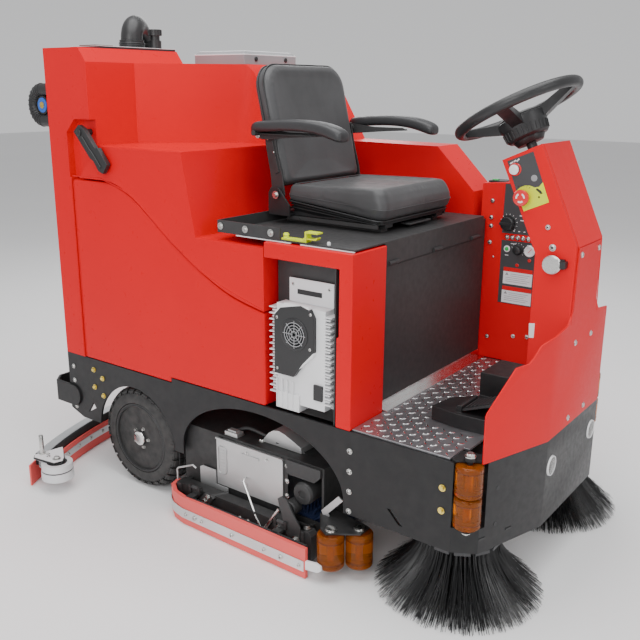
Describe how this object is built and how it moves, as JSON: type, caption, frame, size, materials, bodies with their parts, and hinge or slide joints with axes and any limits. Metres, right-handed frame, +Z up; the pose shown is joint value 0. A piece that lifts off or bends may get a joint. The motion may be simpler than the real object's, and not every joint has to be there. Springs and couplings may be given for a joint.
{
  "type": "ride-on scrubber-sweeper",
  "caption": "Ride-on floor cleaning machine with a driver's seat, steering wheel, two side brooms, a mid scrub deck, rear squeegee and two stacked water tanks.",
  "frame": {"origin": "on the floor, at the middle of the machine's length and width", "axes": "+X is forward, +Y is the driver's left, +Z is up"},
  "size_m": [1.8779, 1.38, 1.5735],
  "materials": {
    "red_plastic": "satin rotomoulded plastic",
    "red_paint": "textured powder coat",
    "black_paint": "satin powder coat",
    "frame_steel": "satin paint",
    "tread_plate": "bright tread plate",
    "zinc": "zinc plated",
    "lamp_glass": "clear lens",
    "lid_plastic": "grey moulded",
    "black_plastic": "fine grain",
    "hose_rubber": "matt",
    "battery_case": "moulded",
    "charger_white": "white powder coat",
    "latch_yellow": "bright powder coat",
    "seat_vinyl": "grained vinyl",
    "arm_foam": "self-skinned foam",
    "button_white": "gloss",
    "button_red": "gloss",
    "tyre_black": "moulded tread",
    "rim_grey": "painted",
    "bristle": "nylon bristle",
    "brush_blue": "nylon bristle",
    "amber": "clear urethane",
    "roller_grey": "moulded nylon",
    "hopper_metal": "sheet",
    "gum_rubber": "gum rubber",
    "squeegee_metal": "brushed"
  },
  "bodies": {
    "chassis": {"chassis_frame": "frame_steel", "front_bumper": "black_paint", "rear_bumper_guard": "black_paint", "floor_plate": "tread_plate", "frame_bolts": "zinc", "headlamps": "lamp_glass", "front_wrap": "red_paint", "steering_column": "red_paint", "control_box": "red_paint", "wheel_housing": "black_paint", "solution_tank": "red_plastic", "recovery_tank": "red_plastic", "vacuum_elbow": "black_plastic", "drain_hose": "hose_rubber", "battery_covers": "red_plastic", "battery_box": "black_paint", "battery_pack": "battery_case", "charger": "charger_white", "side_plate_right": "black_paint", "side_plate_left": "black_paint"},
    "rear_wheel_right": {"rear_tyre_right": "tyre_black", "rear_rim_right": "rim_grey"},
    "rear_wheel_left": {"rear_tyre_left": "tyre_black", "rear_rim_left": "rim_grey"},
    "drive_fork": {"drive_fork": "frame_steel"},
    "drive_wheel": {"drive_wheel": "tyre_black"},
    "steering_wheel": {"steering_wheel": "black_plastic"},
    "tank_lid": {"tank_lid": "lid_plastic"},
    "seat_platform": {"seat_platform": "black_paint"},
    "seat": {"seat_frame": "black_paint", "seat_cushion": "seat_vinyl"},
    "backrest": {"seat_backrest": "seat_vinyl"},
    "armrest_right": {"armrest_right": "arm_foam"},
    "armrest_left": {"armrest_left": "arm_foam"},
    "seat_latch": {"seat_latch": "latch_yellow"},
    "horn_button": {"horn_button": "button_white"},
    "estop_button": {"estop_button": "button_red"},
    "selector_knob": {"selector_knob": "black_plastic"},
    "accelerator_pedal": {"accelerator_pedal": "black_paint"},
    "broom_arm_right": {"broom_arm_right": "frame_steel"},
    "broom_right": {"broom_right": "bristle"},
    "corner_roller_right": {"corner_roller_right": "amber"},
    "broom_arm_left": {"broom_arm_left": "frame_steel"},
    "broom_left": {"broom_left": "bristle"},
    "corner_roller_left": {"corner_roller_left": "amber"},
    "scrub_deck": {"scrub_deck": "black_paint"},
    "debris_hopper": {"debris_hopper": "hopper_metal"},
    "brush_rear": {"brush_roll_rear": "brush_blue"},
    "brush_front": {"brush_roll_front": "brush_blue"},
    "deck_skirt_right": {"deck_skirt_right": "gum_rubber"},
    "deck_roller_rear_right": {"deck_roller_rear_right": "amber"},
    "deck_roller_front_right": {"deck_roller_front_right": "amber"},
    "deck_skirt_left": {"deck_skirt_left": "gum_rubber"},
    "deck_roller_rear_left": {"deck_roller_rear_left": "amber"},
    "deck_roller_front_left": {"deck_roller_front_left": "amber"},
    "squeegee": {"squeegee_frame": "squeegee_metal", "squeegee_blades": "gum_rubber"},
    "squeegee_lever": {"squeegee_lever": "black_plastic"},
    "squeegee_roller_right": {"squeegee_roller_right": "roller_grey"},
    "squeegee_roller_left": {"squeegee_roller_left": "roller_grey"}
  },
  "joints": [
    {"name": "drive_steer", "type": "hinge", "parent": "chassis", "child": "drive_fork", "pos_m": [0.56, 0, 0.33], "axis": [0, 0, 1], "range_deg": [-60, 60]},
    {"name": "steering_turn", "type": "hinge", "parent": "chassis", "child": "steering_wheel", "pos_m": [0.651, 0, 1.287], "axis": [-0.454, 0, 0.891], "range_deg": [-270, 270]},
    {"name": "tank_lid_hinge", "type": "hinge", "parent": "chassis", "child": "tank_lid", "pos_m": [-0.583, 0.15, 1.423], "axis": [0, -1, 0], "range_deg": [0, 95]},
    {"name": "seat_platform_tip", "type": "hinge", "parent": "chassis", "child": "seat_platform", "pos_m": [0.426, 0, 0.876], "axis": [0, 1, 0], "range_deg": [0, 45]},
    {"name": "seat_slide", "type": "slide", "parent": "seat_platform", "child": "seat", "axis": [1, 0, 0], "range_m": [0, 0.1]},
    {"name": "backrest_recline", "type": "hinge", "parent": "seat", "child": "backrest", "pos_m": [-0.022, 0, 1.026], "axis": [0, -1, 0], "range_deg": [0, 12]},
    {"name": "armrest_right_flip", "type": "hinge", "parent": "backrest", "child": "armrest_right", "pos_m": [-0.056, -0.258, 1.209], "axis": [0, -1, 0], "range_deg": [0, 80]},
    {"name": "armrest_left_flip", "type": "hinge", "parent": "backrest", "child": "armrest_left", "pos_m": [-0.056, 0.258, 1.209], "axis": [0, -1, 0], "range_deg": [0, 80]},
    {"name": "seat_latch_turn", "type": "hinge", "parent": "seat_platform", "child": "seat_latch", "pos_m": [0.184, -0.424, 0.94], "axis": [0, 0, 1], "range_deg": [0, 80]},
    {"name": "horn_press", "type": "slide", "parent": "chassis", "child": "horn_button", "axis": [0, 1, 0], "range_m": [0, 0.004], "stiffness_N_per_m": 600, "springref_m": -0.004},
    {"name": "estop_press", "type": "slide", "parent": "chassis", "child": "estop_button", "axis": [0, 1, 0], "range_m": [0, 0.004], "stiffness_N_per_m": 800, "springref_m": -0.004},
    {"name": "selector_turn", "type": "hinge", "parent": "chassis", "child": "selector_knob", "pos_m": [0.499, 0.33, 0.918], "axis": [0, 1, 0], "range_deg": [-60, 60]},
    {"name": "pedal_press", "type": "hinge", "parent": "chassis", "child": "accelerator_pedal", "pos_m": [0.655, -0.213, 0.502], "axis": [0, 1, 0], "range_deg": [0, 10], "stiffness_Nm_per_rad": 8, "springref_deg": -14.32},
    {"name": "broom_right_lift", "type": "slide", "parent": "chassis", "child": "broom_arm_right", "axis": [0, 0, 1], "range_m": [0, 0.03]},
    {"name": "broom_left_lift", "type": "slide", "parent": "chassis", "child": "broom_arm_left", "axis": [0, 0, 1], "range_m": [0, 0.03]},
    {"name": "deck_lift", "type": "slide", "parent": "chassis", "child": "scrub_deck", "axis": [0, 0, 1], "range_m": [0, 0.03]},
    {"name": "hopper_slide", "type": "slide", "parent": "scrub_deck", "child": "debris_hopper", "axis": [0, -1, 0], "range_m": [0, 0.45]},
    {"name": "deck_skirt_right_swing", "type": "hinge", "parent": "scrub_deck", "child": "deck_skirt_right", "pos_m": [0, -0.503, 0.116], "axis": [-1, 0, 0], "range_deg": [0, 20]},
    {"name": "deck_skirt_left_swing", "type": "hinge", "parent": "scrub_deck", "child": "deck_skirt_left", "pos_m": [0, 0.503, 0.116], "axis": [1, 0, 0], "range_deg": [0, 20]},
    {"name": "squeegee_lift", "type": "hinge", "parent": "chassis", "child": "squeegee", "pos_m": [-0.64, 0, 0.23], "axis": [0, 1, 0], "range_deg": [0, 12]},
    {"name": "squeegee_lever_turn", "type": "hinge", "parent": "chassis", "child": "squeegee_lever", "pos_m": [-0.612, -0.474, 1.198], "axis": [0, 1, 0], "range_deg": [0, 60]},
    {"name": "rear_wheel_right_spin", "type": "hinge", "parent": "chassis", "child": "rear_wheel_right", "pos_m": [-0.447, -0.388, 0.18], "axis": [0, 1, 0], "continuous": true},
    {"name": "rear_wheel_left_spin", "type": "hinge", "parent": "chassis", "child": "rear_wheel_left", "pos_m": [-0.447, 0.388, 0.18], "axis": [0, 1, 0], "continuous": true},
    {"name": "drive_wheel_spin", "type": "hinge", "parent": "drive_fork", "child": "drive_wheel", "pos_m": [0.56, 0, 0.125], "axis": [0, 1, 0], "continuous": true},
    {"name": "broom_right_spin", "type": "hinge", "parent": "broom_arm_right", "child": "broom_right", "pos_m": [0.703, -0.308, 0.177], "axis": [0, 0, 1], "continuous": true},
    {"name": "corner_roller_right_spin", "type": "hinge", "parent": "chassis", "child": "corner_roller_right", "pos_m": [0.779, -0.436, 0.352], "axis": [0, 0, 1], "continuous": true},
    {"name": "broom_left_spin", "type": "hinge", "parent": "broom_arm_left", "child": "broom_left", "pos_m": [0.703, 0.308, 0.177], "axis": [0, 0, 1], "continuous": true},
    {"name": "corner_roller_left_spin", "type": "hinge", "parent": "chassis", "child": "corner_roller_left", "pos_m": [0.779, 0.436, 0.352], "axis": [0, 0, 1], "continuous": true},
    {"name": "brush_rear_spin", "type": "hinge", "parent": "scrub_deck", "child": "brush_rear", "pos_m": [-0.15, 0, 0.074], "axis": [0, 1, 0], "continuous": true},
    {"name": "brush_front_spin", "type": "hinge", "parent": "scrub_deck", "child": "brush_front", "pos_m": [0.245, 0, 0.074], "axis": [0, 1, 0], "continuous": true},
    {"name": "deck_roller_rear_right_spin", "type": "hinge", "parent": "scrub_deck", "child": "deck_roller_rear_right", "pos_m": [0.402, -0.503, 0.092], "axis": [0, 0, 1], "continuous": true},
    {"name": "deck_roller_front_right_spin", "type": "hinge", "parent": "scrub_deck", "child": "deck_roller_front_right", "pos_m": [0.462, -0.448, 0.092], "axis": [0, 0, 1], "continuous": true},
    {"name": "deck_roller_rear_left_spin", "type": "hinge", "parent": "scrub_deck", "child": "deck_roller_rear_left", "pos_m": [0.402, 0.503, 0.092], "axis": [0, 0, 1], "continuous": true},
    {"name": "deck_roller_front_left_spin", "type": "hinge", "parent": "scrub_deck", "child": "deck_roller_front_left", "pos_m": [0.462, 0.448, 0.092], "axis": [0, 0, 1], "continuous": true},
    {"name": "squeegee_roller_right_spin", "type": "hinge", "parent": "squeegee", "child": "squeegee_roller_right", "pos_m": [-0.66, -0.636, 0.073], "axis": [0, 0, 1], "continuous": true},
    {"name": "squeegee_roller_left_spin", "type": "hinge", "parent": "squeegee", "child": "squeegee_roller_left", "pos_m": [-0.66, 0.636, 0.073], "axis": [0, 0, 1], "continuous": true}
  ],
  "couplings": [
    {"joint": "steering_turn", "follows": "drive_steer", "ratio": 4.5},
    {"joint": "squeegee_lever_turn", "follows": "squeegee_lift", "ratio": 5},
    {"joint": "brush_front_spin", "follows": "brush_rear_spin", "ratio": -1}
  ]
}
